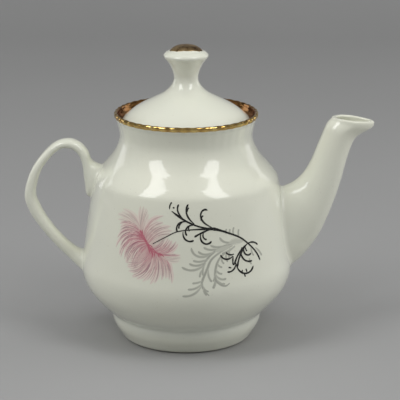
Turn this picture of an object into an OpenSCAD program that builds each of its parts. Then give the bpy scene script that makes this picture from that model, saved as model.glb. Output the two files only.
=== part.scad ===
// Porcelain teapot with a lift-off lid, a gilded rim and knob, and a floral transfer.
// Origin: centre of the foot ring on the resting plane. +Z up, spout towards +X,
// handle towards -X, decorated side towards -Y. Millimetres.

/* [Body] */
// Radius of the resting edge of the foot
foot_r = 35; // [33:0.5:36]
// Radius of the foot where it meets the belly
waist_r = 42.5; // [41:0.5:44]
// Height of the crease between foot and belly
waist_z = 15; // [14:0.5:16]
// Largest radius of the belly
belly_r = 60; // [58:0.5:62]
// Radius of the break between belly and shoulder
shoulder_r = 52; // [51:0.5:53]
// Smallest radius of the neck
neck_r = 37.5; // [37:0.5:38.5]
// Outer radius of the rim
rim_r = 40.5; // [40:0.5:42]
// Height of the rim
rim_z = 131.5; // [131:0.5:134]
// Thickness of the cast wall
wall = 3.5; // [3:0.5:4]
// Height of the recess inside the foot ring
foot_recess = 4.5; // [3:0.5:5]

/* [Mouth and lid] */
// Inner radius of the neck under the lid seat
mouth_r = 34; // [33.5:0.5:34]
// Height of the ledge that the lid rests on
seat_z = 124; // [123.5:0.5:124]
// Outer radius of the lid
lid_r = 36; // [35.5:0.5:36]
// Gap between the lid and its seat
lid_gap = 0.2; // [0.1:0.1:0.4]
// Height of the lid's top, where the knob is joined
knob_z = 144.5; // [144:0.5:145]
// Depth of the lid's collar below the seat
collar_depth = 11; // [8:1:14]
// Diameter of the steam vent
vent_d = 3; // [2:0.5:4]

/* [Knob] */
// Largest radius of the knob
knob_r = 12.8; // [12:0.1:13.5]
// Height of the knob's top above the seat of the knob
knob_h = 25.2; // [24:0.2:27]

/* [Spout] */
// Half the width of the spout where it joins the belly
spout_root_w = 15; // [13:0.5:17]
// Half the width of the spout at its mouth
spout_mouth_w = 8.5; // [7.5:0.5:9.5]
// Thickness of the spout wall
spout_wall = 2.5; // [2:0.25:3]
// Diameter of each strainer hole
strainer_d = 4.5; // [3:0.5:5]
// Distance between strainer holes
strainer_pitch = 7.5; // [6.5:0.5:8]

/* [Handle] */
// Half the width of the handle strap
handle_w = 5; // [4:0.5:6]
// Half the width of the strap where it joins the body
handle_root_w = 8; // [7:0.5:9]

/* [Decoration] */
// Thickness of the gilding and the printed transfer
film = 0.2; // [0.1:0.05:0.3]
// Lower edge of the gold band, below the rim
band_h = 2.5; // [2:0.5:4]
// Lowest height of the transfer
transfer_low = 37; // [34:1:40]
// Highest height of the transfer
transfer_high = 92; // [88:1:93]
// Angle of the transfer's left edge from the front
transfer_left = -43; // [-46:1:-42]
// Angle of the transfer's right edge from the front
transfer_right = 54; // [52:1:58]

/* [Hidden] */
$fn = 96;

porcelain = "#dcdcd0";
gold = "#b8862e";
print_pink = "#c7768c";

// How far the roots of the spout and handle are bedded into the body wall
bury = 1.5;
curve_steps = 4;
spout_sides = 28;
handle_sides = 20;

// Catmull-Rom point between b and c
function blend_point(a, b, c, d, t) =
    0.5 * (2 * b + (c - a) * t + (2 * a - 5 * b + 4 * c - d) * t * t
    + (3 * b - a - 3 * c + d) * t * t * t);

// Smooth curve through a list of points, or of numbers
function curve(pts, steps = curve_steps) = [
    for (i = [0 : len(pts) - 2])
        for (k = [0 : steps - 1])
            blend_point(pts[max(i - 1, 0)], pts[i], pts[i + 1], pts[min(i + 2, len(pts) - 1)], k / steps),
    pts[len(pts) - 1]
];

function reversed(list) = [for (i = [len(list) - 1 : -1 : 0]) list[i]];

function unit(v) = v / norm(v);

// Direction to the right of a path at point i
function side_of(pts, i) =
    let (d = unit(pts[min(i + 1, len(pts) - 1)] - pts[max(i - 1, 0)]))
    [d[1], -d[0]];

// A thin closed outline that lies on the right of a path
function skin(pts, thickness) =
    concat(pts, reversed([for (i = [0 : len(pts) - 1]) pts[i] + thickness * side_of(pts, i)]));

// Outlines are [radius, height] pairs.
foot_outline = curve([
    [foot_r, 0], [foot_r + 2, 0.8], [foot_r + 3.5, 3.2], [waist_r - 1, 8],
    [waist_r + 0.3, 12], [waist_r, waist_z]
]);
body_outline = curve([
    [waist_r, waist_z], [waist_r + 5.2, waist_z + 4.5], [belly_r - 4.6, 28.5], [belly_r - 1.1, 35.5],
    [belly_r, 43], [belly_r - 1.2, 52], [belly_r - 3.7, 70], [shoulder_r + 1.8, 86],
    [shoulder_r + 0.2, 94], [shoulder_r - 2.4, 98.4], [neck_r + 8, 102.7], [neck_r + 4.7, 106.6],
    [neck_r + 1.7, 111.8], [neck_r, 117.5], [neck_r + 0.6, 122.5], [rim_r - 1.2, 127]
]);
rim_outline = curve([
    [rim_r - 1.2, 127], [rim_r - 0.3, rim_z - band_h], [rim_r, rim_z - 1.2], [rim_r - 0.3, rim_z - 0.3],
    [rim_r - 1, rim_z], [rim_r - 1.7, rim_z - 0.5], [rim_r - 2.3, rim_z - 2.4], [lid_r + 0.7, seat_z + 1.2]
]);
cavity_outline = curve([
    [0, 9], [28, 9.2], [37, 13], [waist_r + 1, waist_z + 4.5],
    [belly_r - 5 - wall, 29.5], [belly_r - 1.2 - wall, 37], [belly_r - wall, 43.5],
    [belly_r - 1.2 - wall, 52], [belly_r - 3.7 - wall, 70], [shoulder_r + 1.6 - wall, 86],
    [shoulder_r - 0.4 - wall, 93.2], [shoulder_r - 2.7 - wall, 97], [neck_r + 3.9, 101.6],
    [neck_r + 0.6, 106], [mouth_r + 1.4, 111.4], [mouth_r, 117.5], [mouth_r, seat_z]
]);

// Outer radius of the body at a height
radius_table = [for (p = concat(foot_outline, body_outline)) [p[1], p[0]]];
function body_radius(z) = lookup(z, radius_table);

lid_outline = curve([
    [lid_r, seat_z + lid_gap], [lid_r + 0.2, seat_z + 2], [lid_r - 0.5, seat_z + 4],
    [33.4, 130], [30.4, 132.5], [26.6, 135], [22, 137.5], [17.1, 140], [13, 142.2], [10.2, knob_z]
]);
collar_r = mouth_r - 0.6;
collar_in_r = collar_r - 3;
lid_underside = curve([
    [0, 141], [9, 139.6], [16.5, 136.2], [24, 131.8], [28.5, 128.8], [collar_in_r, 125]
]);

// Knob outline, measured up from where the knob is joined to the lid
knob_stem = curve([
    [10.2, 0], [8.3, 2.2], [7.1, 4.5], [6.8, 6.8], [7.4, 9.8], [8.6, 12.8],
    [10.2, 15.6], [knob_r - 0.9, 17.6], [knob_r, 19], [knob_r - 0.5, 20.2], [10.4, 21.5], [9, 21.9]
]);
knob_dome = curve([
    [9, 21.9], [7.6, knob_h - 2], [5.4, knob_h - 0.8], [2.6, knob_h - 0.2], [0, knob_h]
]);

// Upper and lower line of the spout, as [x, z] pairs, and its half width at each
spout_upper = [
    [53.5, 87], [61, 90.5], [66.5, 95.8], [70.7, 103], [74, 111.3], [76.8, 118.5], [79.2, 124.2], [82.2, 127.8]
];
spout_lower = [
    [59, 40], [67.5, 47.7], [76.5, 60.4], [84, 78.5], [88.3, 92.5], [91.6, 105.5], [96, 116.2], [106.3, 124.2]
];
spout_widths = [spout_root_w, 12.8, 11.4, 10.3, 9.6, 9.2, 9, spout_mouth_w];
// How much each section narrows towards the pouring lip
spout_beaks = [0, 0, 0, 0, 0.02, 0.08, 0.2, 0.34];

// Outer and inner line of the handle, as [x, z] pairs, and its half width at each
handle_outer = [
    [-47.8, 100.5], [-53.2, 103.4], [-55.6, 109], [-60, 113.8], [-66.5, 116], [-74.5, 113.8], [-82.6, 106],
    [-88.7, 96.4], [-92.2, 84], [-90.2, 74.9], [-84.4, 65], [-76.3, 54.9], [-67.2, 45.4], [-60, 38.5]
];
handle_inner = [
    [-54.4, 82], [-57.1, 91.5], [-59, 101.8], [-62, 107.8], [-67.2, 110.6], [-72.5, 109.2], [-78.4, 103.2],
    [-82.9, 95.6], [-85.4, 85], [-83.4, 77.6], [-78.5, 68.6], [-71.2, 59.3], [-63.6, 52.2], [-59.2, 50]
];
handle_widths = [
    handle_root_w, 6.2, 5.2, handle_w, handle_w, handle_w, handle_w,
    handle_w, handle_w, handle_w, handle_w, handle_w, 5.6, handle_root_w
];

// One section of a swept tube. a and b are the ends of the section in the XZ plane, w is its
// half width, inset is taken off all round, and beak narrows the end at b.
function section(a, b, w, beak, inset, sides) =
    let (middle = (a + b) / 2, half = norm(b - a) / 2 - inset, along = unit(b - a))
    [for (k = [0 : sides - 1])
        let (
            t = 360 * k / sides,
            p = middle + along * half * cos(t),
            y = (w - inset) * sin(t) * (1 - beak * max(0, cos(t)))
        )
        [p[0], y, p[1]]
    ];

// The same section moved along X onto the bedding surface inside the body wall
function bedded(ring, side) = [
    for (p = ring) [side * sqrt(pow(body_radius(p[2]) - bury, 2) - p[1] * p[1]), p[1], p[2]]
];

// Faces between rings of equal size; each face turns outwards for counter-clockwise rings
function band_faces(rings, sides, closed) = [
    for (i = [0 : rings - (closed ? 1 : 2)])
        for (k = [0 : sides - 1])
            let (
                j = (i + 1) % rings,
                n = (k + 1) % sides,
                p = i * sides + k, q = i * sides + n, r = j * sides + n, s = j * sides + k
            )
            each [[p, q, r], [p, r, s]]
];

function flat(lists) = [for (l = lists) each l];

function average(pts) = [for (axis = [0 : 2]) mean([for (p = pts) p[axis]])];
function mean(values) = values * [for (v = values) 1] / len(values);

module revolve(outline) {
    rotate_extrude() polygon(outline);
}

module pot_body() {
    color(porcelain) difference() {
        revolve(concat(
            [[0, foot_recess], [foot_r - 6, foot_recess], [foot_r - 4.5, 0.8], [foot_r - 3.7, 0]],
            foot_outline, body_outline, rim_outline,
            [[lid_r + 0.6, seat_z], [mouth_r, seat_z]], reversed(cavity_outline)
        ));
        strainer_holes();
    }
}

// Three rows of round holes through the wall behind the spout
module strainer_holes() {
    row_z = 61;
    for (row = [-1 : 1]) {
        count = row == 0 ? 3 : 2;
        for (i = [0 : count - 1])
            translate([belly_r - 10, (i - (count - 1) / 2) * strainer_pitch, row_z + row * strainer_pitch])
                rotate([0, 90, 0]) cylinder(d = strainer_d, h = 20);
    }
}

module spout() {
    upper = curve(spout_upper);
    lower = curve(spout_lower);
    widths = curve(spout_widths);
    beaks = curve(spout_beaks);
    last = len(upper) - 1;
    outside = [
        for (i = [0 : last])
            let (ring = section(upper[i], lower[i], widths[i], beaks[i], 0, spout_sides))
            i == 0 ? bedded(ring, 1) : ring
    ];
    inside = [
        for (i = [0 : last])
            let (ring = section(upper[i], lower[i], widths[i], beaks[i], spout_wall, spout_sides))
            i == 0 ? bedded(ring, 1) : ring
    ];
    rings = concat(outside, reversed(inside));
    color(porcelain) polyhedron(flat(rings), band_faces(len(rings), spout_sides, true));
}

module handle() {
    outer = curve(handle_outer, 3);
    inner = curve(handle_inner, 3);
    widths = curve(handle_widths, 3);
    last = len(outer) - 1;
    rings = [
        for (i = [0 : last])
            let (ring = section(outer[i], inner[i], widths[i], 0, 0, handle_sides))
            i == 0 || i == last ? bedded(ring, -1) : ring
    ];
    // The two ends are closed by fans around a point at the middle of each
    middles = [average(rings[0]), average(rings[last])];
    first_middle = len(rings) * handle_sides;
    end_fans = [
        for (k = [0 : handle_sides - 1])
            let (n = (k + 1) % handle_sides)
            each [
                [n, k, first_middle],
                [last * handle_sides + k, last * handle_sides + n, first_middle + 1]
            ]
    ];
    color(porcelain)
        polyhedron(concat(flat(rings), middles), concat(band_faces(len(rings), handle_sides, false), end_fans));
}

// The part of the rim outline that carries the gold
module rim_gilding() {
    gilded = [for (p = rim_outline) if (p[1] > rim_z - band_h - 0.1 || p[0] < rim_r - 1.5) p];
    color(gold) revolve(skin(gilded, film));
}

// A thin printed skin on the front of the belly
module floral_transfer() {
    printed = [for (p = body_outline) if (p[1] > transfer_low && p[1] < transfer_high) p];
    color(print_pink)
        rotate([0, 0, transfer_left - 90])
            rotate_extrude(angle = transfer_right - transfer_left)
                polygon(skin(printed, film));
}

module lid() {
    color(porcelain) difference() {
        revolve(concat(
            lid_outline, [[0, knob_z]], lid_underside,
            [[collar_in_r, seat_z - collar_depth], [collar_r, seat_z - collar_depth],
            [collar_r, seat_z + lid_gap]]
        ));
        translate([0, 19, seat_z]) cylinder(d = vent_d, h = 30);
    }
}

module lid_knob() {
    color(porcelain) translate([0, 0, knob_z]) revolve(concat([[0, 0]], knob_stem, knob_dome));
}

module knob_gilding() {
    color(gold) translate([0, 0, knob_z])
        revolve(concat(knob_dome, [[0, knob_h + film]],
            [for (i = [len(knob_dome) - 2 : -1 : 0]) knob_dome[i] + film * side_of(knob_dome, i)]));
}

pot_body();
spout();
handle();
rim_gilding();
floral_transfer();
lid();
lid_knob();
knob_gilding();
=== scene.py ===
"""Porcelain teapot: glazed body, spout, handle and lid, gilded rim and knob, printed flowers."""

import math
import random

import bpy
import numpy as np
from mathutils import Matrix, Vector


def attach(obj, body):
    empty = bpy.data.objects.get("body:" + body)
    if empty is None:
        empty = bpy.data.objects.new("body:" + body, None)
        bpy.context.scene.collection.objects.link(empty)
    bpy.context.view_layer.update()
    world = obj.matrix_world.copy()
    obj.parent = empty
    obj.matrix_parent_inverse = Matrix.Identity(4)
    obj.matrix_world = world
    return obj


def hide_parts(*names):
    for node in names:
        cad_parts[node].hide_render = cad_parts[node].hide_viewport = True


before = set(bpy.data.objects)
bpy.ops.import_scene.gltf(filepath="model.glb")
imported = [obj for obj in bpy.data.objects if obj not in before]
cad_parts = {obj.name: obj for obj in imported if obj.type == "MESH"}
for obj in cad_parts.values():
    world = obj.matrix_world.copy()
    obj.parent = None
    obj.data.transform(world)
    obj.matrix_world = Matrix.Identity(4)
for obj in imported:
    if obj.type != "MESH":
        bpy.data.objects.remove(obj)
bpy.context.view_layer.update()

MM = 0.001

# ---------------------------------------------------------------- outlines, in mm
# The same driving sizes as the CAD part
FOOT_R = 35.0
WAIST_R = 42.5
WAIST_Z = 15.0
BELLY_R = 60.0
SHOULDER_R = 52.0
NECK_R = 37.5
RIM_R = 40.5
RIM_Z = 131.5
WALL = 3.5
FOOT_RECESS = 4.5
MOUTH_R = 34.0
SEAT_Z = 124.0
LID_R = 36.0
LID_GAP = 0.2
KNOB_Z = 144.5
COLLAR_R = 33.4
COLLAR_IN_R = 30.4
COLLAR_Z = 113.0
STRAINER_D = 4.5
STRAINER_PITCH = 7.5
STRAINER_Z = 61.0
VENT_D = 3.0
VENT_Y = 19.0
# Heights under and over the lid's wall, between which the vent is cut
LID_UNDER_Z = 128.0
LID_OVER_Z = 148.0
SPOUT_WALL = 2.5

# Outlines are (radius, height) pairs
UNDER_FOOT = [(0, FOOT_RECESS), (28.5, FOOT_RECESS), (29.6, 3.8), (30.5, 0.8), (31.3, 0),
              (FOOT_R, 0)]
FOOT = [(FOOT_R, 0), (FOOT_R + 2, 0.8), (FOOT_R + 3.5, 3.2), (WAIST_R - 1, 8),
        (WAIST_R + 0.3, 12), (WAIST_R, WAIST_Z)]
BODY = [(WAIST_R, WAIST_Z), (WAIST_R + 5.2, WAIST_Z + 4.5), (BELLY_R - 4.6, 28.5),
        (BELLY_R - 1.1, 35.5), (BELLY_R, 43), (BELLY_R - 1.2, 52), (BELLY_R - 3.7, 70),
        (SHOULDER_R + 1.8, 86), (SHOULDER_R + 0.7, 91.6), (SHOULDER_R + 0.1, 94.3),
        (SHOULDER_R - 1.2, 96.4), (SHOULDER_R - 2.9, 98.6),
        (NECK_R + 8, 102.7), (NECK_R + 4.7, 106.6), (NECK_R + 1.7, 111.8), (NECK_R, 117.5),
        (NECK_R + 0.6, 122.5), (RIM_R - 1.2, 127)]
RIM = [(RIM_R - 1.2, 127), (RIM_R - 0.3, 129), (RIM_R, RIM_Z - 1.2), (RIM_R - 0.3, RIM_Z - 0.3),
       (RIM_R - 1, RIM_Z), (RIM_R - 1.7, RIM_Z - 0.5), (RIM_R - 2.3, RIM_Z - 2.4),
       (LID_R + 0.7, SEAT_Z + 1.2)]
SEAT = [(LID_R + 0.6, SEAT_Z + 0.2), (LID_R + 0.3, SEAT_Z), (MOUTH_R + 0.5, SEAT_Z),
        (MOUTH_R, SEAT_Z - 0.5)]
CAVITY = [(0, 9), (28, 9.2), (37, 13), (WAIST_R + 1, WAIST_Z + 4.5),
          (BELLY_R - 5 - WALL, 29.5), (BELLY_R - 1.2 - WALL, 37), (BELLY_R - WALL, 43.5),
          (BELLY_R - 1.2 - WALL, 52), (BELLY_R - 3.7 - WALL, 70), (SHOULDER_R + 1.6 - WALL, 86),
          (SHOULDER_R - 0.4 - WALL, 93.2), (SHOULDER_R - 2.7 - WALL, 97), (NECK_R + 3.9, 101.6),
          (NECK_R + 0.6, 106), (MOUTH_R + 1.4, 111.4), (MOUTH_R, 117.5), (MOUTH_R, SEAT_Z)]
LID = [(LID_R, SEAT_Z + LID_GAP), (LID_R + 0.2, SEAT_Z + 2), (LID_R - 0.5, SEAT_Z + 4),
       (33.4, 130), (30.4, 132.5), (26.6, 135), (22, 137.5), (17.1, 140), (13, 142.2),
       (10.2, KNOB_Z)]
COLLAR = [(LID_R - 0.4, SEAT_Z + LID_GAP), (COLLAR_R + 0.3, SEAT_Z + LID_GAP),
          (COLLAR_R, SEAT_Z - 0.3), (COLLAR_R, COLLAR_Z + 0.6), (COLLAR_R - 0.6, COLLAR_Z),
          (COLLAR_IN_R + 0.6, COLLAR_Z), (COLLAR_IN_R, COLLAR_Z + 0.6), (COLLAR_IN_R, 124.4)]
UNDER_LID = [(0, 141), (9, 139.6), (16.5, 136.2), (24, 131.8), (28.5, 128.8), (COLLAR_IN_R, 125)]
KNOB_STEM = [(10.2, 0), (8.3, 2.2), (7.1, 4.5), (6.8, 6.8), (7.4, 9.8), (8.6, 12.8), (10.2, 15.6),
             (11.9, 17.6), (12.8, 19), (12.3, 20.2), (10.4, 21.5), (9, 21.9)]
KNOB_DOME = [(9, 21.9), (7.6, 23.2), (5.4, 24.4), (2.6, 25), (0, 25.2)]

# Upper and lower line of the spout and outer and inner line of the handle, as (x, z) pairs
SPOUT_UPPER = [(53.5, 87), (61, 90.5), (66.5, 95.8), (70.7, 103), (74, 111.3), (76.8, 118.5),
               (79.2, 124.2), (81.4, 126.9), (82.2, 127.9)]
SPOUT_LOWER = [(59, 40), (67.5, 47.7), (76.5, 60.4), (84, 78.5), (88.3, 92.5), (91.6, 105.5),
               (96, 116.2), (104.8, 121.9), (106.2, 125.0)]
HANDLE_OUTER = [(-43.6, 98.6), (-47.8, 100.5), (-53.2, 103.4), (-55.6, 109), (-60, 113.8),
                (-66.5, 116), (-74.5, 113.8), (-82.6, 106), (-88.7, 96.4), (-92.14, 84),
                (-90.2, 74.9), (-84.4, 65), (-76.3, 54.9), (-67.2, 45.4), (-60, 38.5)]
HANDLE_INNER = [(-51.6, 81.8), (-56.7, 83.2), (-58, 91.5), (-59.2, 101.8), (-62, 107.8),
                (-67.2, 110.6), (-72.5, 109.2), (-78.4, 103.2), (-82.9, 95.6), (-85.4, 85),
                (-83.4, 77.6), (-78.5, 68.6), (-71.2, 59.3), (-63.6, 52.2), (-59.2, 50)]
# Half widths along Y, one for each point and for each end that is continued into the body
SPOUT_WIDTH = [15.6, 15, 12.8, 11.4, 10.3, 9.6, 9.2, 9, 8.6, 8.5]
HANDLE_WIDTH = [8.6, 8, 6.2, 5.2, 5, 5, 5, 5, 5, 5, 5, 5, 5, 5.6, 8, 8.6]
# How much of its width the spout's lower side gives up, towards the beak
SPOUT_BEAK = [0, 0, 0, 0, 0, 0.02, 0.08, 0.18, 0.29, 0.31]
SPOUT_TOP_Z = 128.1
LIP_RISE = 0.9

# The fine scallops of the rim, which lean by RIM_TWIST radians from the neck to the seat
RIM_LOBES = 44
RIM_TWIST = 2.6
SCALLOP_DEPTH = 0.16
SCALLOP_RISE = 0.14
RIM_STEP = 0.22
# How far the gold comes down the outside of the rim
GOLD_BAND = 2.6

# How far the skins of gold stand over the glaze and reach under it
RIM_GOLD_OVER = 0.06
RIM_GOLD_UNDER = 0.08
KNOB_GOLD_OVER = 0.07
KNOB_GOLD_UNDER = 0.10

# How far the hidden ends of the lid and of the knob draw in, where one runs on inside the other
TUCK = np.array([0.05, 0.14, 0.26])
# How far the edges of fillets are sunk in the glaze of the body
SUNK = 0.04

SEGMENTS = 256
HOLE_SIDES = 40


# ---------------------------------------------------------------- curves and meshes
def smooth(points, per_span):
    """Catmull-Rom curve through points, as an array with one row for each point."""
    pts = np.array(points, float)
    if pts.ndim == 1:
        pts = pts[:, None]
    last = len(pts) - 1
    t = (np.arange(per_span) / per_span)[:, None]
    rows = []
    for i in range(last):
        a, b, c, d = pts[max(i - 1, 0)], pts[i], pts[i + 1], pts[min(i + 2, last)]
        rows.append(0.5 * (2 * b + (c - a) * t + (2 * a - 5 * b + 4 * c - d) * t ** 2
                           + (3 * b - a - 3 * c + d) * t ** 3))
    return np.vstack(rows + [pts[-1:]])


def distances(path):
    """How far along a path each of its points is."""
    return np.concatenate([[0], np.cumsum(np.linalg.norm(np.diff(path, axis=0), axis=1))])


def even(path, step):
    """The same path with its points about step apart."""
    along = distances(path)
    places = np.linspace(0, along[-1], max(2, int(round(along[-1] / step)) + 1))
    return np.stack([np.interp(places, along, path[:, k]) for k in range(path.shape[1])], axis=1)


def relaxed(path, passes):
    """A path with its small kinks eased out; both ends stay where they are."""
    path = path.copy()
    for _ in range(passes):
        path[1:-1] += 0.25 * (path[:-2] - 2 * path[1:-1] + path[2:])
    return path


def left_of(path):
    """Unit vectors to the left of the way that a flat path runs, one for each point."""
    tangent = np.gradient(path, axis=0)
    tangent /= np.linalg.norm(tangent, axis=1)[:, None]
    return np.stack([-tangent[:, 1], tangent[:, 0]], axis=1)


def full_turn(count):
    """Angles evenly spaced round a circle, from 0."""
    return np.arange(count) * 2 * math.pi / count


def ramp(value, low, high):
    """0 below low, 1 above high, and smooth between them."""
    t = np.clip((value - low) / (high - low), 0, 1)
    return t * t * (3 - 2 * t)


def new_object(name, data):
    """An object in the scene, made round a mesh, a lamp or a camera."""
    made = bpy.data.objects.new(name, data)
    bpy.context.scene.collection.objects.link(made)
    return made


def new_mesh(name, verts, faces):
    """A smooth-shaded mesh from points in metres."""
    mesh = bpy.data.meshes.new(name)
    mesh.from_pydata([tuple(v) for v in verts], [], faces)
    mesh.validate()
    mesh.polygons.foreach_set("use_smooth", [True] * len(mesh.polygons))
    mesh.update()
    return mesh


def add_mesh(name, verts_mm, faces, material, body, nodes, sharp=0):
    """Makes a piece from points in mm, hangs it on its body and hides the CAD nodes that it stands
    for.
    Its edges over the angle sharp, in degrees, stay crisp."""
    mesh = new_mesh(name, np.asarray(verts_mm) * MM, faces)
    mesh.materials.append(material)
    if sharp:
        mesh.set_sharp_from_angle(angle=math.radians(sharp))
    piece = new_object(name, mesh)
    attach(piece, body)
    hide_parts(*nodes)
    return piece


def paint(piece, layer_name, colours):
    """Gives a piece a layer of colours, one for each of its points."""
    layer = piece.data.color_attributes.new(layer_name, "FLOAT_COLOR", "POINT")
    layer.data.foreach_set("color", np.asarray(colours, dtype=np.float32).ravel())


def circle(radius, height, angle):
    """The points of a ring round Z. radius and height are one for each angle."""
    return list(zip(radius * np.cos(angle), radius * np.sin(angle), height))


def lathe(outline, segments, shape=None):
    """Points and faces of an outline turned round Z. Points on the axis become one vertex.
    shape(radius, height, angle, i) gives ring i its radius and height at each angle."""
    angle = full_turn(segments)
    verts, rings = [], []
    for i, (r, z) in enumerate(outline):
        if r < 1e-6:
            rings.append([len(verts)])
            verts.append((0, 0, z))
            continue
        radius, height = np.full(segments, float(r)), np.full(segments, float(z))
        if shape:
            radius, height = shape(radius, height, angle, i)
        rings.append(list(range(len(verts), len(verts) + segments)))
        verts.extend(circle(radius, height, angle))
    faces = []
    for low, high in zip(rings[:-1], rings[1:]):
        for k in range(segments):
            n = (k + 1) % segments
            if len(low) == 1 and len(high) > 1:
                faces.append((low[0], high[n], high[k]))
            elif len(high) == 1 and len(low) > 1:
                faces.append((low[k], low[n], high[0]))
            elif len(low) > 1:
                faces.append((low[k], low[n], high[n], high[k]))
    return verts, faces


def flipped(faces):
    """The same faces, turned to look the other way."""
    return [tuple(reversed(f)) for f in faces]


def drill_holes(piece, holes):
    """Cuts round holes through a piece. A hole is (start, end, diameter), in mm."""
    sides = HOLE_SIDES
    verts, faces = [], []
    for start, end, diameter in holes:
        start, end, radius = Vector(start), Vector(end), diameter / 2
        spin = (end - start).to_track_quat("Z", "Y")
        first = len(verts)
        for centre in (start, end):
            for a in full_turn(sides):
                point = Vector((radius * math.cos(a), radius * math.sin(a), 0))
                verts.append(centre + spin @ point)
        faces.append(tuple(first + k for k in reversed(range(sides))))
        faces.append(tuple(first + sides + k for k in range(sides)))
        for k in range(sides):
            n = (k + 1) % sides
            faces.append((first + k, first + n, first + sides + n, first + sides + k))
    drill = new_object("drill", new_mesh("drill", [v * MM for v in verts], faces))
    cut = piece.modifiers.new("holes", "BOOLEAN")
    cut.operation = "DIFFERENCE"
    cut.solver = "EXACT"
    cut.object = drill
    result = piece.evaluated_get(bpy.context.evaluated_depsgraph_get())
    drilled = bpy.data.meshes.new_from_object(result)
    drilled.set_sharp_from_angle(angle=math.radians(50))
    piece.modifiers.clear()
    piece.data = drilled
    bpy.data.objects.remove(drill)


def tube_faces(rows, columns, closed=False):
    """Faces between rings of points. A closed tube joins its last ring to its first."""
    faces = []
    for i in range(rows if closed else rows - 1):
        for k in range(columns):
            j, n = (i + 1) % rows, (k + 1) % columns
            faces.append((i * columns + k, i * columns + n, j * columns + n, j * columns + k))
    return faces


# ---------------------------------------------------------------- the body's surface
OUTER = relaxed(even(smooth(BODY, 16), 0.6), 3)
FOOT_PATH = even(smooth(FOOT, 10), 0.6)
SURFACE = relaxed(even(np.vstack([FOOT_PATH, OUTER[1:]]), 0.6), 6)


def body_radius(z):
    """The outside radius of the body at a height."""
    return np.interp(z, SURFACE[:, 1], SURFACE[:, 0])


def on_body(angle_deg, z, lift):
    """A point on the outside of the body, lifted off it. Angle 0 is the front, 90 is +X."""
    a = np.radians(angle_deg)
    r = body_radius(z) + lift
    return np.stack([r * np.sin(a), -r * np.cos(a), z + 0 * r], axis=-1)


def rim_wave(radius, height, angle, twist):
    """The fine twisted scallops of the rim, which fade out down the neck and inside the lip."""
    fade = 1 - 0.93 * ramp(twist, 0.8, 1.6)
    size = 0.35 * ramp(height, 112, 126) + 0.65 * ramp(height, 126, 130)
    near_lip = ramp(height, 127, RIM_Z)
    phase = RIM_LOBES * angle + twist
    radius = radius + SCALLOP_DEPTH * size * fade * np.cos(phase)
    height = height + SCALLOP_RISE * near_lip * fade * np.sin(phase)
    return radius, height


# ---------------------------------------------------------------- materials
def new_material(name):
    material = bpy.data.materials.new(name)
    material.use_nodes = True
    tree = material.node_tree
    shader = tree.nodes["Principled BSDF"]
    position = tree.nodes.new("ShaderNodeTexCoord").outputs["Object"]
    return material, tree, shader, position


def noise(tree, position, scale, detail, roughness=0.5):
    node = tree.nodes.new("ShaderNodeTexNoise")
    node.inputs["Scale"].default_value = scale
    node.inputs["Detail"].default_value = detail
    node.inputs["Roughness"].default_value = roughness
    tree.links.new(position, node.inputs["Vector"])
    return node.outputs["Fac"]


def mix_colour(tree, factor, a, b):
    """Mixes two colours, each a socket or a tuple, by a socket."""
    node = tree.nodes.new("ShaderNodeMix")
    node.data_type = "RGBA"
    for name, value in (("Factor", factor), ("A", a), ("B", b)):
        target = [socket for socket in node.inputs if socket.name == name and socket.enabled][0]
        if isinstance(value, bpy.types.NodeSocket):
            tree.links.new(value, target)
        else:
            target.default_value = value
    return [socket for socket in node.outputs if socket.enabled][0]


def product(tree, a, b):
    """A socket multiplied by another socket or by a number."""
    node = tree.nodes.new("ShaderNodeMath")
    node.operation = "MULTIPLY"
    tree.links.new(a, node.inputs[0])
    if isinstance(b, bpy.types.NodeSocket):
        tree.links.new(b, node.inputs[1])
    else:
        node.inputs[1].default_value = b
    return node.outputs[0]


def colour_ramp(tree, factor, stops):
    node = tree.nodes.new("ShaderNodeValToRGB")
    tree.links.new(factor, node.inputs["Fac"])
    elements = node.color_ramp.elements
    while len(elements) < len(stops):
        elements.new(0.5)
    for element, (place, colour) in zip(elements, stops):
        element.position = place
        element.color = colour
    return node.outputs["Color"]


def colour_layer(tree, name):
    node = tree.nodes.new("ShaderNodeVertexColor")
    node.layer_name = name
    return node


def bump(tree, height, strength, distance, below=None):
    """The normal of a bump, laid over the normal below it if there is one."""
    node = tree.nodes.new("ShaderNodeBump")
    node.inputs["Strength"].default_value = strength
    node.inputs["Distance"].default_value = distance
    tree.links.new(height, node.inputs["Height"])
    if below:
        tree.links.new(below, node.inputs["Normal"])
    return node.outputs["Normal"]


def grey(value):
    return (value, value, value, 1)


def glaze_colour(tree, position):
    """White porcelain with faint warm and cool drifts and a few fine specks."""
    warm, cool, speck = (0.80, 0.795, 0.66, 1), (0.77, 0.79, 0.69, 1), (0.42, 0.38, 0.31, 1)
    base = mix_colour(tree, noise(tree, position, 14, 3), warm, cool)
    dots = colour_ramp(tree, noise(tree, position, 900, 0, 0.4), [
        (0.815, grey(0)), (0.85, grey(0.22))])
    return mix_colour(tree, dots, base, speck)


def glaze_surface(tree, shader, position, gloss=1.0):
    """The gloss of the glaze, with the slow ripple and fine orange peel of a fired surface."""
    shader.inputs["Roughness"].default_value = 0.30
    shader.inputs["IOR"].default_value = 1.52
    shader.inputs["Specular IOR Level"].default_value = 0.2 * gloss
    shader.inputs["Coat Weight"].default_value = gloss
    shader.inputs["Coat Roughness"].default_value = 0.04
    ripple = bump(tree, noise(tree, position, 38, 1.5, 0.4), 0.15, 0.0012)
    peel = bump(tree, noise(tree, position, 900, 1), 0.085, 0.00025, ripple)
    tree.links.new(peel, shader.inputs["Normal"])
    tree.links.new(peel, shader.inputs["Coat Normal"])


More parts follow.
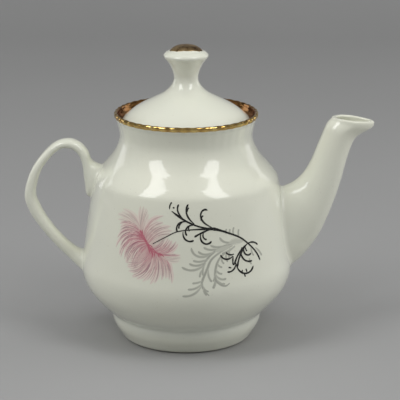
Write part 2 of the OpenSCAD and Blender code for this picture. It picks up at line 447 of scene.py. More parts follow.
def make_porcelain():
    material, tree, shader, position = new_material("glazed_porcelain")
    split = tree.nodes.new("ShaderNodeSeparateXYZ")
    tree.links.new(position, split.inputs["Vector"])
    height = split.outputs["Z"]
    # Glaze gathers in the crease over the foot with a faint tint, and is darkened there as painted
    # shade; the foot's resting edge is left bare
    pool_and_shade_top, bare_top = 0.03, 0.01
    pool_and_shade_mask = colour_ramp(tree, product(tree, height, 1 / pool_and_shade_top), [
        (0.30, grey(0)), (0.48, grey(0.35)), (0.54, grey(0.35)), (0.80, grey(0))])
    bare = colour_ramp(tree, product(tree, height, 1 / bare_top), [
        (0.05, grey(1)), (0.09, grey(0))])
    pool_and_shade_colour = (0.60, 0.63, 0.585, 1)
    clay = mix_colour(tree, noise(tree, position, 220, 4, 0.6),
                      (0.70, 0.66, 0.56, 1), (0.58, 0.53, 0.43, 1))
    glaze = mix_colour(tree, pool_and_shade_mask, glaze_colour(tree, position), pool_and_shade_colour)
    tree.links.new(mix_colour(tree, bare, glaze, clay), shader.inputs["Base Color"])
    glaze_surface(tree, shader, position)
    return material


def make_gold(name, tones, smoothest, roughest, dents, wear_and_shade=None):
    """Fired gold with clouded tones, rubbed rougher in patches.
    Where the mesh's layer wear_and_shade is white, its colour runs between the two darker tones
    given, which stand for thin gold and for painted shade and painted dark reflection."""
    material, tree, shader, position = new_material(name)
    shader.inputs["Metallic"].default_value = 1.0
    cloud = noise(tree, position, 160, 4, 0.6)
    colour = colour_ramp(tree, cloud, list(zip((0.32, 0.46, 0.64), tones)))
    # Painted shade and painted reflection: where the layer is white the gold turns to darker brown
    # tones
    if wear_and_shade:
        layer = colour_layer(tree, "wear_and_shade").outputs["Color"]
        colour = mix_colour(tree, layer, colour, mix_colour(tree, cloud, *wear_and_shade))
    tree.links.new(colour, shader.inputs["Base Color"])
    rubbed = colour_ramp(tree, noise(tree, position, 320, 3, 0.6), [
        (0.35, grey(smoothest)), (0.70, grey(roughest))])
    tree.links.new(rubbed, shader.inputs["Roughness"])
    brushed = bump(tree, noise(tree, position, 700, 3, 0.6), dents, 0.0002)
    tree.links.new(brushed, shader.inputs["Normal"])
    return material


def make_print(name, gloss=1.0):
    """Ink under the same glaze. The ink layer gives the colour, and its alpha how strong."""
    material, tree, shader, position = new_material(name)
    layer = colour_layer(tree, "ink")
    grain = colour_ramp(tree, noise(tree, position, 1500, 2, 0.6), [
        (0.30, grey(0.94)), (0.62, grey(1.0))])
    strength = product(tree, layer.outputs["Alpha"], grain)
    colour = mix_colour(tree, strength, glaze_colour(tree, position), layer.outputs["Color"])
    tree.links.new(colour, shader.inputs["Base Color"])
    glaze_surface(tree, shader, position, gloss)
    return material


porcelain = make_porcelain()
gold = make_gold("fired_gold",
                 [(0.50, 0.29, 0.08, 1), (0.74, 0.50, 0.16, 1), (0.90, 0.69, 0.27, 1)],
                 0.10, 0.22, 0.2, wear_and_shade=[(0.24, 0.11, 0.04, 1), (0.44, 0.22, 0.07, 1)])
rubbed_gold = make_gold("rubbed_gold",
                        [(0.20, 0.12, 0.06, 1), (0.44, 0.29, 0.14, 1), (0.70, 0.52, 0.28, 1)],
                        0.24, 0.50, 0.5)


# ---------------------------------------------------------------- body, rim and lid
RIM_PATH = even(smooth(RIM, 12), RIM_STEP)


def make_body():
    """One closed outline: under the foot, up the outside, over the rim and down the inside."""
    under_foot = even(np.array(UNDER_FOOT), 0.9)
    cavity = relaxed(even(smooth(CAVITY, 8), 1.6), 3)[::-1]
    outline = np.vstack([under_foot, SURFACE[1:], RIM_PATH[1:], SEAT, cavity[1:]])
    rim_start = len(under_foot) + len(SURFACE) - 1
    rim_end = rim_start + len(RIM_PATH) - 1
    twist = np.zeros(rim_end)
    twist[rim_start:] = np.linspace(0, RIM_TWIST, rim_end - rim_start)

    def scalloped(radius, height, angle, i):
        if i >= rim_end:
            return radius, height
        return rim_wave(radius, height, angle, twist[i])

    verts, faces = lathe(outline, SEGMENTS, scalloped)
    body = add_mesh("teapot_body", verts, faces, porcelain, "pot", ["pot_body"])
    drill_holes(body, strainer_holes())


def strainer_holes():
    """Rows of two, three and two holes through the wall behind the spout."""
    holes = []
    for row, count in ((-1, 2), (0, 3), (1, 2)):
        z = STRAINER_Z + row * STRAINER_PITCH
        for i in range(count):
            y = (i - (count - 1) / 2) * STRAINER_PITCH
            holes.append(((BELLY_R - 10, y, z), (BELLY_R + 6, y, z), STRAINER_D))
    return holes


def make_rim_gold():
    """A closed skin over the upper part of the rim, down to the seat inside the lip."""
    rim = RIM_PATH[1:]
    gilded = [i for i, (r, z) in enumerate(rim) if z > RIM_Z - GOLD_BAND or r < RIM_R - 1.5]
    path, twist = rim[gilded], np.linspace(0, RIM_TWIST, len(rim))[gilded]
    outward = -left_of(path)
    path = np.concatenate([path + outward * RIM_GOLD_OVER, (path - outward * RIM_GOLD_UNDER)[::-1]])
    twist = np.concatenate([twist, twist[::-1]])
    angle = full_turn(SEGMENTS)
    verts, wear_and_shade = [], []
    for (r, z), turn in zip(path, twist):
        radius, height = rim_wave(np.full(SEGMENTS, r), np.full(SEGMENTS, z), angle, turn)
        verts.extend(circle(radius, height, angle))
        # Darker brown along the lower edge of the band, and inside the lip and in the valleys of
        # the scallops as painted shade and painted dark reflection
        edge = max(ramp(turn, 0.9, 1.35), 0.85 * (1 - ramp(turn, 0.1, 0.32)))
        valley = 0.5 - 0.5 * np.cos(RIM_LOBES * angle + 2.5 * turn)
        wear_and_shade.extend(grey(tone) for tone in np.clip(edge + 0.55 * valley ** 2, 0, 1))
    faces = tube_faces(len(path), SEGMENTS, closed=True)
    band = add_mesh("rim_gold_band", verts, faces, gold, "pot", ["rim_gilding"])
    paint(band, "wear_and_shade", wear_and_shade)


LID_AND_STEM = relaxed(even(smooth(LID + [(r, h + KNOB_Z) for r, h in KNOB_STEM[1:]], 12), 0.4), 8)
SEAM = int(np.argmin(np.abs(LID_AND_STEM[:, 1] - KNOB_Z)))


def make_lid():
    """The dome stops a little inside the foot of the knob, so no seam shows in the glaze."""
    dome = LID_AND_STEM[:SEAM + 4].copy()
    dome[-3:, 0] -= TUCK
    collar = even(np.array(COLLAR), 1.0)
    under = even(smooth(UNDER_LID, 10), 1.2)[::-1]
    outline = np.vstack([[(0, dome[-1, 1])], dome[::-1], collar, under])
    verts, faces = lathe(outline, SEGMENTS)
    lid = add_mesh("teapot_lid", verts, flipped(faces), porcelain, "lid_assembly",
                   ["lid"])
    drill_holes(lid, [((0, VENT_Y, LID_UNDER_Z), (0, VENT_Y, LID_OVER_Z), VENT_D)])


def make_knob():
    """The stem starts a little inside the lid and ends under the gold of the dome."""
    stem = LID_AND_STEM[SEAM - 3:].copy()
    stem[:3, 0] -= TUCK[::-1]
    dome = even(smooth(KNOB_DOME, 8), 0.4)
    dome[:, 1] += KNOB_Z
    outline = np.vstack([[(0, stem[0, 1])], stem, dome[1:]])
    verts, faces = lathe(outline, 128)
    add_mesh("teapot_knob", verts, faces, porcelain, "lid_assembly", ["lid_knob"])


def make_knob_gold():
    """A brushed-on cap: its hand-painted edge wanders a little along the knob's own surface."""
    top = even(smooth(KNOB_DOME, 8), 0.1)[::-1]
    path = np.vstack([top, even(np.array(KNOB_STEM[:-3:-1]), 0.1)[1:]])
    along, outward = distances(path), left_of(path)
    sides, rings = 96, 26
    angle = full_turn(sides)
    # The cap's edge is drawn in towards the top on the front side, at -Y
    drawn_in_at_front = 2.0 * np.maximum(0, -np.sin(angle)) ** 2
    edge = along[len(top) - 1] + 0.25 - drawn_in_at_front
    edge += 0.20 * np.sin(3 * angle + 0.6) + 0.13 * np.sin(8 * angle) + 0.06 * np.sin(19 * angle)

    def skin(i, lift):
        """Ring i of one side of the cap, lift off the knob's surface."""
        places = edge * i / rings
        r = np.interp(places, along, path[:, 0]) + lift * np.interp(places, along, outward[:, 0])
        z = np.interp(places, along, path[:, 1]) + lift * np.interp(places, along, outward[:, 1])
        points = circle(r, z + KNOB_Z, angle)
        return points if i else [(0, 0, z[0] + KNOB_Z)]

    verts = []
    for i in range(rings + 1):
        verts.extend(skin(i, KNOB_GOLD_OVER * (1 - (i / rings) ** 8 * 0.6)))
    under = len(verts)
    for i in range(rings + 1):
        verts.extend(skin(i, -KNOB_GOLD_UNDER))
    faces = [(0, 1 + k, 1 + (k + 1) % sides) for k in range(sides)]
    faces += [tuple(1 + v for v in f) for f in flipped(tube_faces(rings, sides))]
    faces += [tuple(under + v for v in f) for f in flipped(faces)]
    rim = under - sides
    for k in range(sides):
        n = (k + 1) % sides
        faces.append((rim + k, under + rim + k, under + rim + n, rim + n))
    add_mesh("knob_gold_cap", verts, faces, rubbed_gold, "lid_assembly",
             ["knob_gilding"])


# ---------------------------------------------------------------- spout and handle
def sections(line_a, line_b, width, beak, inset, sides, squareness=1.0):
    """Rings of a swept tube between two lines in the XZ plane, inset from its outside.
    The beak narrows the side of line_b, and a squareness under 1 fills out the corners."""
    angle = full_turn(sides)
    cos, sin = np.cos(angle), np.sin(angle)
    cos = np.sign(cos) * np.abs(cos) ** squareness
    sin = np.sign(sin) * np.abs(sin) ** squareness
    rings = []
    for a, b, half_width, pinch in zip(line_a, line_b, width[:, 0], beak[:, 0]):
        middle, span = (a + b) / 2, b - a
        half = np.linalg.norm(span) / 2
        along = span / (2 * half)
        flat = middle + np.outer((half - inset) * cos, along)
        y = (half_width - inset) * sin * (1 - pinch * np.maximum(0, cos))
        rings.append(np.stack([flat[:, 0], y, flat[:, 1]], axis=1))
    return np.array(rings)


def extended(points, first=0, last=0):
    """A line continued past its first or last point, by a share of the span there."""
    pts = [np.array(p, float) for p in points]
    if first:
        pts.insert(0, pts[0] + (pts[0] - pts[1]) * first)
    if last:
        pts.append(pts[-1] + (pts[-1] - pts[-2]) * last)
    return pts


def outside(points):
    """How far points stand off the body's surface."""
    return np.hypot(points[:, 0], points[:, 1]) - body_radius(points[:, 2])


def joined(rings, reach_tube, reach_body):
    """Rings that run from the free end into the body are cut where they meet it, and a soft
    fillet of glaze is added from the tube to the body's surface. Each reach is how far from
    the corner the fillet starts and ends."""
    count, sides = rings.shape[:2]
    steps = 8
    hits, lines = [], []
    for k in range(sides):
        line = rings[:, k]
        off = outside(line)
        i = int(np.argmax(off < 0)) if (off < 0).any() else len(line) - 1
        t = off[i - 1] / (off[i - 1] - off[i]) if off[i] < 0 else 1.0
        hits.append(line[i - 1] + (line[i] - line[i - 1]) * t)
        lines.append(np.vstack([line[:i], hits[-1:]]))
    centre = np.mean(hits, axis=0)
    tube, skirt = np.zeros((count, sides, 3)), np.zeros((steps, sides, 3))
    for k, (line, hit) in enumerate(zip(lines, hits)):
        along = distances(line)
        places = np.linspace(0, max(along[-1] - reach_tube, along[-1] * 0.5), count)
        tube[:, k] = np.stack([np.interp(places, along, line[:, c]) for c in range(3)], axis=1)
        normal = np.array([hit[0], hit[1], 0]) / np.hypot(hit[0], hit[1])
        away = hit - centre
        away -= normal * away.dot(normal)
        foot = hit + away / np.linalg.norm(away) * reach_body
        foot[:2] *= (body_radius(foot[2]) - SUNK) / np.hypot(foot[0], foot[1])
        for step in range(steps):
            t = (step + 1) / steps
            skirt[step, k] = (1 - t) ** 2 * tube[-1, k] + 2 * t * (1 - t) * hit + t * t * foot
    return np.concatenate([tube, skirt])


def make_spout():
    sides, fine, lip_steps = 64, 10, 8
    upper = smooth(extended(SPOUT_UPPER, first=0.35), fine)[::-1]
    lower = smooth(extended(SPOUT_LOWER, first=0.35), fine)[::-1]
    width, beak = smooth(SPOUT_WIDTH, fine)[::-1], smooth(SPOUT_BEAK, fine)[::-1]
    shell = joined(sections(upper, lower, width, beak, 0, sides), reach_tube=2.6, reach_body=2.4)
    bore = sections(upper, lower, width, beak, SPOUT_WALL, sides)[:-fine]
    # The lip is rounded over between the outside and the bore
    middle = (shell[0] + bore[0]) / 2
    lip = []
    for step in range(1, lip_steps):
        a = math.pi * step / lip_steps
        ring = middle + (shell[0] - middle) * math.cos(a)
        ring[:, 2] += LIP_RISE * math.sin(a)
        lip.append(ring)
    rings = np.concatenate([shell[::-1], lip, bore])
    rings[:, :, 2] = np.minimum(rings[:, :, 2], SPOUT_TOP_Z)
    faces = tube_faces(len(rings), sides, closed=True)
    add_mesh("teapot_spout", rings.reshape(-1, 3), faces, porcelain, "pot", ["spout"])


def make_handle():
    sides, fine = 48, 10
    outer = smooth(extended(HANDLE_OUTER, last=0.5), fine)
    inner = smooth(extended(HANDLE_INNER, last=0.5), fine)
    width = smooth(HANDLE_WIDTH, fine)
    rings = sections(outer, inner, width, np.zeros_like(width), 0, sides, squareness=0.86)
    half = len(rings) // 2
    top = joined(rings[:half + 1][::-1], reach_tube=1.5, reach_body=1.4)
    bottom = joined(rings[half:], reach_tube=2.2, reach_body=2.0)
    strap = np.concatenate([top[::-1], bottom[1:]])
    verts = list(strap.reshape(-1, 3))
    faces = flipped(tube_faces(len(strap), sides))
    # Both ends are closed by a fan inside the body
    for ring, first in ((strap[0], 0), (strap[-1], (len(strap) - 1) * sides)):
        hub = len(verts)
        verts.append(ring.mean(axis=0))
        for k in range(sides):
            a, b = first + k, first + (k + 1) % sides
            faces.append((hub, a, b) if first == 0 else (hub, b, a))
    add_mesh("teapot_handle", verts, faces, porcelain, "pot", ["handle"])


# ---------------------------------------------------------------- the printed transfer
# Strokes are drawn on the body: across in degrees from the front, which is about 1 mm each
# here, and up in mm. How far the first stroke of each layer stands off the body, and how
# much further each next stroke does, so that no two lie in one surface:
BLUSH_LIFT, GREY_EDGE_LIFT, PETAL_LIFT, GREY_LIFT = 0.020, 0.030, 0.045, 0.048
SPLIT_LIFT, HEART_LIFT, BLACK_LIFT = 0.062, 0.080, 0.100
PINK_NEXT, GREY_NEXT, BLACK_NEXT = 0.0001, 0.0003, 0.0004
INK_CROWN = 0.012
INK_UNDER = 0.08


class Ink:
    """Collects ribbons of one ink in one mesh."""

    def __init__(self):
        self.verts, self.faces, self.colours = [], [], []

    def ribbon(self, path, widths, colours, lift):
        """A closed thin ribbon on the body. widths in mm, colours as rows of r, g, b, strength."""
        path = np.asarray(path, float)
        side = left_of(path) * np.asarray(widths)[:, None] / 2
        left, right = path + side, path - side
        edges = [(left, lift), (path, lift + INK_CROWN), (right, lift), (right, -INK_UNDER),
                 (left, -INK_UNDER)]
        first, count = len(self.verts), len(path)
        starts = [first + n * count for n in range(len(edges))]
        for edge, height in edges:
            self.verts.extend(on_body(edge[:, 0], edge[:, 1], height))
            self.colours.extend(colours)
        for a, b in zip(starts, starts[1:] + starts[:1]):
            self.faces.extend((a + i, b + i, b + i + 1, a + i + 1) for i in range(count - 1))
        self.faces.append(tuple(starts[::-1]))
        self.faces.append(tuple(start + count - 1 for start in starts))

    def piece(self, name, material):
        made = add_mesh(name, self.verts, self.faces, material, "pot",
                        ["floral_transfer"], sharp=40)
        paint(made, "ink", self.colours)


def scroll(across, up, heading, length, turn, curl=1.0, steps=16):
    """A curling stroke from a heading. It turns evenly, or mostly at its end if curl is over 1."""
    t = np.linspace(0, 1, steps)
    way = np.radians(heading + turn * t ** curl)
    step = length / (steps - 1)
    x = across + np.concatenate([[0], np.cumsum(np.cos(way[:-1]) * step)])
    z = up + np.concatenate([[0], np.cumsum(np.sin(way[:-1]) * step)])
    return np.stack([x, z], axis=1)


def varied(count, places, values):
    """count values along a stroke, from the values at some places between 0 and 1."""
    return np.interp(np.linspace(0, 1, count), places, values)


def pen(count, base, middle, neck, tip):
    """Width along a pen stroke: thin at the base, full in the middle, and a round tip."""
    return varied(count, [0, 0.4, 0.72, 0.9, 0.97, 1],
                  [base, middle, neck, tip, tip * 0.8, tip * 0.3])


# Fans of petals: how many, where on the heart (0 top, 1 foot), heading, turn, length, strength.
# A pair is for the first petal and the last.
FANS = [
    (10, (0.00, 0.08), (100, 132), (74, 62), (16.5, 19.5), 0.42),
    (10, (0.00, 0.18), (120, 146), (92, 92), (15.5, 18.5), 0.85),
    (12, (0.14, 0.40), (149, 176), (98, 96), (20, 20.5), 0.95),
    (11, (0.36, 0.55), (181, 218), (82, 52), (18.5, 14.5), 0.80),
    (10, (0.50, 0.58), (222, 246), (30, -30), (14.5, 14.5), 0.66),
    (11, (0.52, 0.62), (248, 265), (-64, -84), (15.5, 19), 0.80),
    (10, (0.56, 0.72), (266, 284), (-84, -76), (19, 20), 0.78),
    (8, (0.70, 0.86), (287, 306), (-70, -48), (18, 16.5), 0.72),
    (8, (0.84, 1.00), (311, 330), (-56, -66), (17, 15), 0.68),
    (5, (0.93, 1.00), (316, 334), (66, 50), (13.5, 12), 0.38),
    (4, (0.93, 1.00), (340, 352), (34, 24), (10, 11), 0.85),
    (11, (0.92, 0.62), (-6, 12), (68, 70), (14.5, 10.5), 0.80),
    (8, (0.60, 0.46), (20, 44), (40, -30), (11.5, 11.5), 0.45),
    (12, (0.46, 0.18), (50, 88), (-50, -80), (14.5, 17), 0.66),
    (8, (0.16, 0.02), (92, 106), (-42, -20), (13, 14.5), 0.50),
]
HEART = [(-26.6, 75.4), (-24.6, 72.9), (-22.6, 70.6), (-21.3, 68.4), (-19.4, 66.3), (-16.9, 65.3),
         (-14.2, 64.6)]


def between(pair, share):
    """The value a share of the way from the first of a pair to the second."""
    return pair[0] + (pair[1] - pair[0]) * share


def make_flower():
    """A shaggy chrysanthemum: fans of fine petals that curl away from a long crimson heart."""
    rng = random.Random(7)
    ink = Ink()
    crimson, rose, mauve = (0.50, 0.075, 0.145), (0.56, 0.17, 0.235), (0.39, 0.18, 0.215)
    blush, faded = (0.80, 0.46, 0.485), (0.50, 0.24, 0.28)
    heart = even(smooth(HEART, 8), 0.2)
    petals = []
    for count, where, headings, turns, lengths, strength in FANS:
        for i in range(count):
            share = (i + 0.5 + rng.uniform(-0.25, 0.25)) / count
            start = heart[int(between(where, share) * (len(heart) - 1))]
            start = start + [rng.uniform(-0.4, 0.4), rng.uniform(-0.4, 0.4)]
            petals.append((start, between(headings, share) + rng.uniform(-2, 2),
                           between(turns, share) + rng.uniform(-7, 7),
                           between(lengths, share) * rng.uniform(0.84, 1.12), strength))

    def petal(start, heading, turn, length, width, tones, strengths, lift):
        steps = 16
        path = scroll(start[0], start[1], heading, length, turn, 1, steps)
        widths = width * varied(steps, [0, 0.2, 0.55, 0.8, 0.94, 1],
                                [0.7, 0.9, 1, 0.75, 0.35, 0.04])
        mixed = [varied(steps, [0, 0.4, 1], [tone[c] for tone in tones]) for c in range(3)]
        strength = varied(steps, [0, 0.5, 1], strengths)
        ink.ribbon(path, widths, list(zip(*mixed, strength)), lift)

    # A broad blush under each petal
    for n, (start, heading, turn, length, strength) in enumerate(petals):
        petal(start, heading, turn, length * 1.02, rng.uniform(2.6, 3.6), (rose, blush, blush),
              np.array([0.66, 0.46, 0.26]) * min(1, strength + 0.15), BLUSH_LIFT + PINK_NEXT * n)
    # The petal itself, darker here and there, and a shorter split beside it
    for n, (start, heading, turn, length, strength) in enumerate(petals):
        dark = rng.random() < 0.45
        width = rng.uniform(0.44, 0.60) if dark else rng.uniform(0.36, 0.50)
        tones = (crimson, mauve, mauve) if dark else (crimson, rose, faded)
        petal(start, heading, turn, length, width, tones,
              np.array([1, 1 if dark else 0.9, 0.75]) * min(1, strength * 1.1),
              PETAL_LIFT + PINK_NEXT * n)
        side = rng.choice([-1, 1])
        petal(start, heading + side * rng.uniform(3, 6), turn - side * rng.uniform(0, 6),
              length * rng.uniform(0.55, 0.92), rng.uniform(0.28, 0.42), (crimson, rose, rose),
              np.array([0.95, 0.7, 0.5]) * strength, SPLIT_LIFT + PINK_NEXT * n)
    # Short crimson strokes over the heart
    for n in range(54):
        along = rng.uniform(0.08, 0.95)
        place = heart[int(along * (len(heart) - 1))]
        heading = rng.choice([112, 130, 295, 310] if along < 0.4 else [280, 300, 335, 130])
        petal(place + [rng.uniform(-0.5, 0.5), rng.uniform(-0.5, 0.5)], heading,
              rng.uniform(-25, 25), rng.uniform(2.5, 4.5), rng.uniform(0.4, 0.75),
              (crimson, crimson, crimson), (0.85, 0.95, 0.8), HEART_LIFT + PINK_NEXT * n)
    ink.piece("pink_flower_print", make_print("pink_ink"))


# across, up, heading, length, turn, curl
BLACK_SCROLLS = [
    (-9.8, 89.4, 96, 4, -55, 1.2), (-2, 84.5, 138, 8.8, -88, 1.7),
    (4.5, 81.5, 139, 12.6, -98, 1.8), (0.5, 88, 92, 2.6, -50, 1),
    (14.5, 79.2, 151, 15.8, -200, 2.2), (8.4, 83.2, 92, 3.2, -75, 1.3),
    (-0.5, 82.8, 176, 9, 128, 1.2), (-2, 82.6, 200, 4.6, 80, 1),
    (4.5, 81, 180, 9.3, 142, 1.4), (1.8, 80.4, 222, 3, 105, 1),
    (-1.9, 77.4, 266, 9.6, 132, 1.2), (13.5, 78, 187, 9.8, 24, 0.6),
    (8.2, 76.3, 254, 11, 168, 1.25), (9.7, 76.6, 243, 5, 122, 1.2),
    (36.4, 67.8, 12, 7.8, -66, 1.2), (36.4, 67.8, 206, 14.5, 50, 1.2),
    (27, 63.4, 194, 5.4, -74, 1.2), (26.2, 62.4, 220, 8.8, -114, 1.1),
    (26.4, 62.2, 256, 4.4, 20, 1), (35.5, 67.2, 216, 13.5, 48, 1),
    (27.8, 58, 258, 7.6, -100, 1.2), (27.8, 58.4, 280, 16.4, 156, 1.3),
    (32.4, 66.4, 236, 13.4, 138, 0.9), (33.8, 67, 248, 9.4, 160, 1.3),
    (34.4, 66.6, 272, 3.2, 38, 1), (32.6, 51.8, 286, 2, 0, 1),
    (31, 52, 66, 2, 20, 1), (34.4, 52.2, 96, 2, 20, 1), (24.8, 56, 150, 1.6, 30, 1),
]
# across, up, heading, length
BLACK_DOTS = [(-7.6, 89.8, 70, 0.9), (26.2, 58.2, 285, 0.9)]
STEM = [(-19, 70), (-12, 74), (-5, 77.4), (5, 78.5), (16.5, 78), (22.5, 76), (31, 72.2),
        (37, 67.4), (42, 61.8), (44.3, 57)]
BRANCH = [(23, 76), (18.4, 77.4), (11.5, 78.9), (5.5, 80.6), (-1.5, 83.8), (-8.6, 88.4)]
FORK = [(10, 79), (14, 78.6), (18, 77.7), (22, 76.3)]


def make_black_sprig():
    """A stem with a branch, both set with curling barbs."""
    ink = Ink()
    black = (0.004, 0.004, 0.005, 1.0)

    def draw(path, widths, n):
        ink.ribbon(path, widths, [black] * len(path), BLACK_LIFT + BLACK_NEXT * n)

    stem, branch, fork = smooth(STEM, 8), smooth(BRANCH, 8), smooth(FORK, 6)
    draw(stem, varied(len(stem), [0, 0.3, 0.42, 0.52, 0.8, 0.96, 1],
                      [0.45, 0.6, 1.1, 1.0, 0.85, 1.0, 0.6]), 0)
    draw(branch, varied(len(branch), [0, 0.3, 0.6, 0.9, 1], [1.1, 1.0, 0.85, 1.15, 0.3]), 1)
    draw(fork, varied(len(fork), [0, 0.5, 1], [0.4, 1.8, 0.5]), 2)
    steps = 20
    for n, (across, up, heading, length, turn, curl) in enumerate(BLACK_SCROLLS, 3):
        path = scroll(across, up, heading, length, turn, curl, steps)
        size = 0.74 + 0.03 * min(length, 11)
        draw(path, pen(steps, 0.42, size, size * 0.82, size * 1.05), n)
    for n, (across, up, heading, length) in enumerate(BLACK_DOTS, 40):
        path = scroll(across, up, heading, length, 0, 1, 6)
        draw(path, [0.5, 0.9, 1.1, 1.1, 0.9, 0.5], n)
    ink.piece("black_sprig_print", make_print("black_ink", gloss=0.55))


# across, up, heading, length, turn, curl
GREY_SCROLLS = [
    (31, 70, 184, 13.5, -80, 2.5), (25, 69.3, 196, 12, -48, 1.6),
    (28, 67.8, 214, 9, -24, 1), (19.5, 67.7, 192, 10.5, -56, 1.8),
    (17, 66.5, 205, 11.5, -80, 1.8), (15, 65.5, 208, 15.5, -124, 1.6),
    (12.5, 62.6, 206, 9.4, -56, 1.5), (11.4, 61.6, 223, 11, -82, 1.2),
    (10.5, 60, 224, 14.5, -86, 1.2), (9.9, 59.2, 238, 6.2, 48, 1),
    (8.6, 56.6, 232, 4.6, 40, 1), (11.8, 56.4, 260, 7.4, 52, 1),
    (8.6, 50.5, 204, 5.8, -30, 1.4), (8.3, 49, 224, 8.6, -56, 1.3),
    (7.9, 47.8, 240, 12.4, -74, 1.2), (8.4, 48.2, 282, 5.4, 66, 1.2),
    (8.9, 46.4, 270, 4.6, 50, 1), (17, 59.4, 288, 3.8, 72, 1.2),
    (16, 56.2, 290, 4.8, 76, 1.2), (15.8, 53.4, 296, 7.2, 92, 1.2),
    (16.4, 50.4, 300, 5.4, 70, 1.2), (15.6, 54, 264, 4.6, -24, 1),
    (15.4, 49.6, 268, 4, -34, 1), (22.8, 74.9, 92, 2.8, -24, 1),
    (25, 74.2, 92, 3.2, -24, 1), (27.6, 73.4, 106, 4.8, -56, 1.3),
    (31, 72, 108, 4.6, -52, 1.3), (24.8, 66.8, 244, 6.2, 44, 1),
    (22.4, 64.4, 254, 5, 56, 1.2), (19.5, 62.6, 262, 4.2, 66, 1.2),
    (41.5, 64.6, 322, 7.2, -26, 1), (38.4, 65.2, 272, 5.2, 40, 1.2),
    (36.8, 59.6, 262, 4, 64, 1.2),
]
GREY_RIBS = [
    [(34, 70), (25, 69), (19, 67.8), (13.7, 64.6), (10.5, 61.2), (8.4, 58)],
    [(26.4, 68.2), (19, 65.4), (13.6, 61.6), (11, 56.3), (8.6, 51), (8.1, 48.4), (9.4, 45),
     (11.8, 42)],
    [(27.7, 67.4), (20, 63.5), (16.8, 59.5), (15.6, 54.7), (15.7, 50.6), (18, 47.8),
     (21, 46.6), (23.4, 47.8)],
    [(15.6, 54.7), (15.6, 50), (14.8, 47.6), (13.8, 46)],
]
GREY_WASHES = [
    [(24, 69.4), (28, 70.2), (33, 69.6)],
    [(16, 66.2), (20, 67), (25, 68.2)],
]


def make_grey_sprig():
    """A paler sprig behind the black one, with soft edges and two broad washes."""
    ink = Ink()
    shade = (0.20, 0.205, 0.175)

    def draw(path, widths, strengths, n):
        """A soft edge under a firmer stroke."""
        for width, strength, lift in ((1.45, 0.5, GREY_EDGE_LIFT), (0.85, 1.0, GREY_LIFT)):
            colours = [(*shade, strength * s) for s in strengths]
            ink.ribbon(path, width * widths, colours, lift + GREY_NEXT * n)

    for n, rib in enumerate(GREY_RIBS):
        path = smooth(rib, 6)
        draw(path, varied(len(path), [0, 0.4, 0.8, 1], [0.7, 1.15, 0.95, 0.4]),
             varied(len(path), [0, 0.3, 1], [0.45, 0.66, 0.64]), n)
    steps = 16
    for n, (across, up, heading, length, turn, curl) in enumerate(GREY_SCROLLS, len(GREY_RIBS)):
        path = scroll(across, up, heading, length, turn, curl, steps)
        size = 0.80 + 0.025 * min(length, 12)
        draw(path, pen(steps, 0.55, size, size * 0.9, size),
             varied(steps, [0, 0.5, 1], [0.40, 0.56, 0.60]), n)
    for n, wash in enumerate(GREY_WASHES, 40):
        path = smooth(wash, 6)
        bulge = np.sin(math.pi * np.linspace(0.08, 0.92, len(path)))
        draw(path, 2.6 * bulge, [0.34] * len(path), n)
    ink.piece("grey_sprig_print", make_print("grey_ink"))


make_body()
make_rim_gold()
make_lid()
make_knob()
make_knob_gold()
make_spout()
make_handle()
make_grey_sprig()
make_flower()
make_black_sprig()


# ---------------------------------------------------------------- floor, light and camera
# In metres
POT_MIDDLE = Vector((0, 0, 0.09))
CAMERA_FROM = Vector((0, -1.0, 0.364))
CAMERA_AIM = Vector((0.0078, 0, 0.0796))


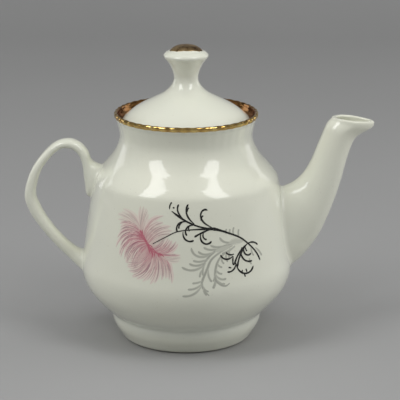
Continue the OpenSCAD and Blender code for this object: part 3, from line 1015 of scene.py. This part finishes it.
def make_floor():
    """A plain pale sheet that sweeps up behind the pot."""
    material, tree, shader, position = new_material("pale_backdrop")
    tone = mix_colour(tree, noise(tree, position, 3, 2), (0.34, 0.34, 0.337, 1),
                      (0.37, 0.37, 0.367, 1))
    tree.links.new(tone, shader.inputs["Base Color"])
    shader.inputs["Roughness"].default_value = 0.6
    reach, depth, turn_r, height, turn_steps = 9.0, 0.9, 0.5, 2.2, 12
    path = [(-reach, 0.0), (depth, 0.0)]
    for step in range(1, turn_steps + 1):
        a = math.pi / 2 * step / turn_steps
        path.append((depth + turn_r * math.sin(a), turn_r * (1 - math.cos(a))))
    path.append((depth + turn_r, height))
    verts = [(x, y, z) for x in (-reach, reach) for y, z in path]
    n = len(path)
    faces = [(i, n + i, n + i + 1, i + 1) for i in range(n - 1)]
    mesh = new_mesh("backdrop", verts, faces)
    mesh.materials.append(material)
    new_object("backdrop", mesh)


def facing(direction):
    """The turn that makes a lamp or a camera look in a direction."""
    return direction.to_track_quat("-Z", "Y").to_euler()


def add_softbox(name, azimuth, height_angle, distance, size, power, hidden=False):
    """A soft rectangular lamp aimed at the pot, in metres, watts and degrees. Azimuth 0 is
    the camera's side, 90 is +X. A hidden lamp gives light but isn't mirrored in the glaze."""
    light = bpy.data.lights.new(name, "AREA")
    light.shape = "RECTANGLE"
    light.size, light.size_y = size
    light.energy = power
    lamp = new_object(name, light)
    a, h = math.radians(azimuth), math.radians(height_angle)
    away = Vector((math.sin(a) * math.cos(h), -math.cos(a) * math.cos(h), math.sin(h)))
    lamp.location = POT_MIDDLE + away * distance
    lamp.rotation_euler = facing(-away)
    lamp.visible_glossy = not hidden


def make_world():
    world = bpy.data.worlds.new("studio")
    world.use_nodes = True
    background = world.node_tree.nodes["Background"]
    background.inputs["Color"].default_value = (0.62, 0.63, 0.64, 1)
    background.inputs["Strength"].default_value = 0.38
    bpy.context.scene.world = world


def make_camera():
    """1 m away and a little above, aimed at the middle of the pot."""
    camera = bpy.data.cameras.new("camera")
    camera.sensor_width = 36
    camera.lens = 163.9
    holder = new_object("camera", camera)
    holder.location = CAMERA_FROM
    holder.rotation_euler = facing(CAMERA_AIM - CAMERA_FROM)
    bpy.context.scene.camera = holder


make_floor()
add_softbox("left_window", -54, 44, 1.2, (0.42, 0.74), 4.5)
add_softbox("right_window", 47, 44, 1.2, (0.40, 0.74), 4.0)
add_softbox("overhead", 0, 86, 1.4, (1.6, 1.2), 6.8, hidden=True)
add_softbox("left_side", -100, 5, 1.5, (0.9, 0.9), 5.0, hidden=True)
add_softbox("right_side", 100, 5, 1.5, (0.9, 0.9), 9.5, hidden=True)
add_softbox("left_back", -125, 8, 1.4, (0.4, 0.9), 1.4)
add_softbox("right_back", 125, 8, 1.4, (0.4, 0.9), 1.3)

make_world()
make_camera()
bpy.context.scene.view_settings.view_transform = "Standard"
